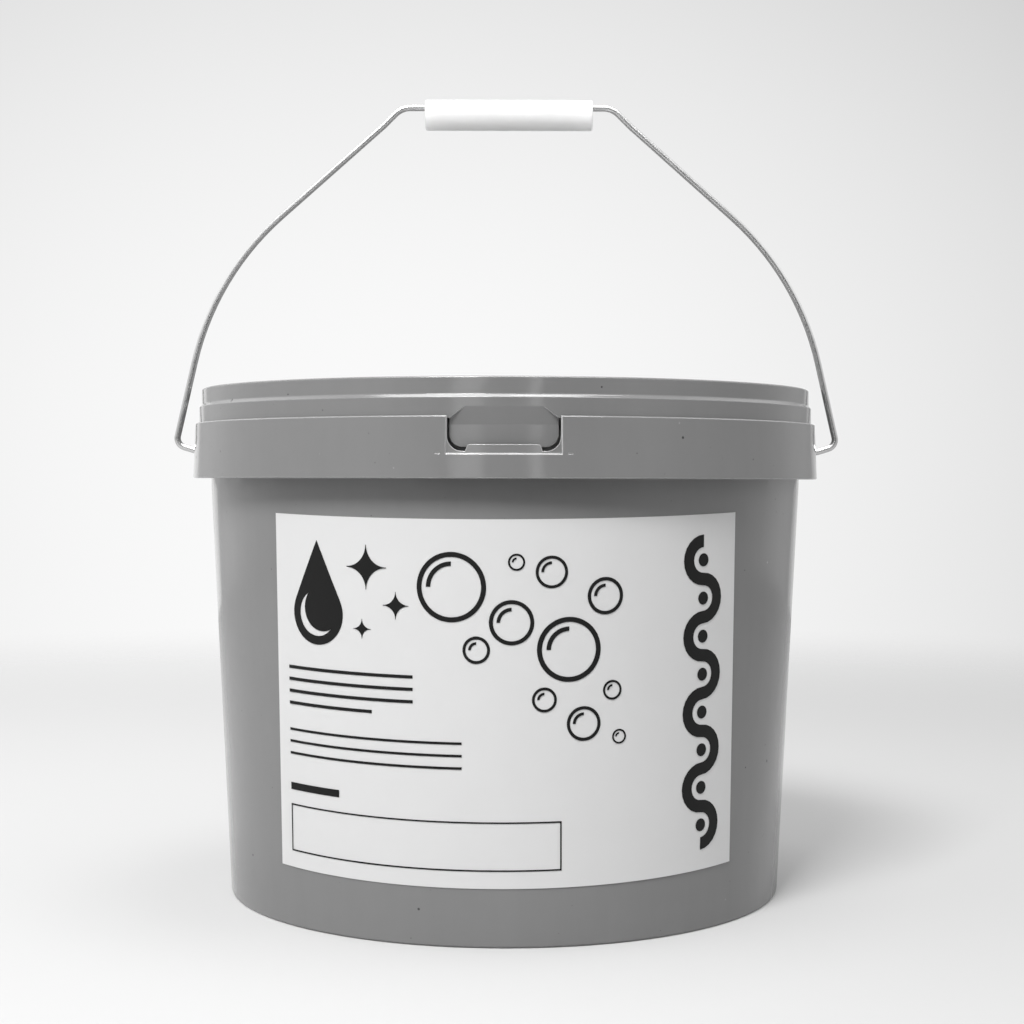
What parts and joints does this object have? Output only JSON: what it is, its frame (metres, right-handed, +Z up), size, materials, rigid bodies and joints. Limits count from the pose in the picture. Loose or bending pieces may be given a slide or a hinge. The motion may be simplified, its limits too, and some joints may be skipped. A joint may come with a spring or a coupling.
{
  "type": "dishwasher powder tub",
  "caption": "Tapered round plastic tub with a collar, a press-on lid with a pull tab, a hinged wire bail with a loose tube grip, and a bed of powder inside.",
  "frame": {"origin": "centre of the standing ring, on the floor", "axes": "+Z up along the tub's axis, -Y towards the front with the label and the pull tab, X through the bail's two holes"},
  "size_m": [0.3106, 0.2878, 0.3648],
  "materials": {
    "tub_plastic": "satin",
    "wire": "gloss",
    "grip_plastic": "gloss",
    "label_paper": "satin",
    "ink": "satin",
    "powder": "matte"
  },
  "bodies": {
    "tub": {"bucket": "tub_plastic", "label": "label_paper", "label_print": "ink", "powder": "powder"},
    "lid": {"lid": "tub_plastic"},
    "bail": {"bail": "wire"},
    "grip": {"grip": "grip_plastic"}
  },
  "joints": [
    {"name": "lid_lift", "type": "slide", "parent": "tub", "child": "lid", "axis": [0, 0, 1], "range_m": [0, 0.0165]},
    {"name": "bail_swing", "type": "hinge", "parent": "tub", "child": "bail", "pos_m": [0, 0, 0.201], "axis": [1, 0, 0], "range_deg": [-115, 115]},
    {"name": "grip_turn", "type": "hinge", "parent": "bail", "child": "grip", "pos_m": [0, 0, 0.3611], "axis": [1, 0, 0], "continuous": true}
  ]
}
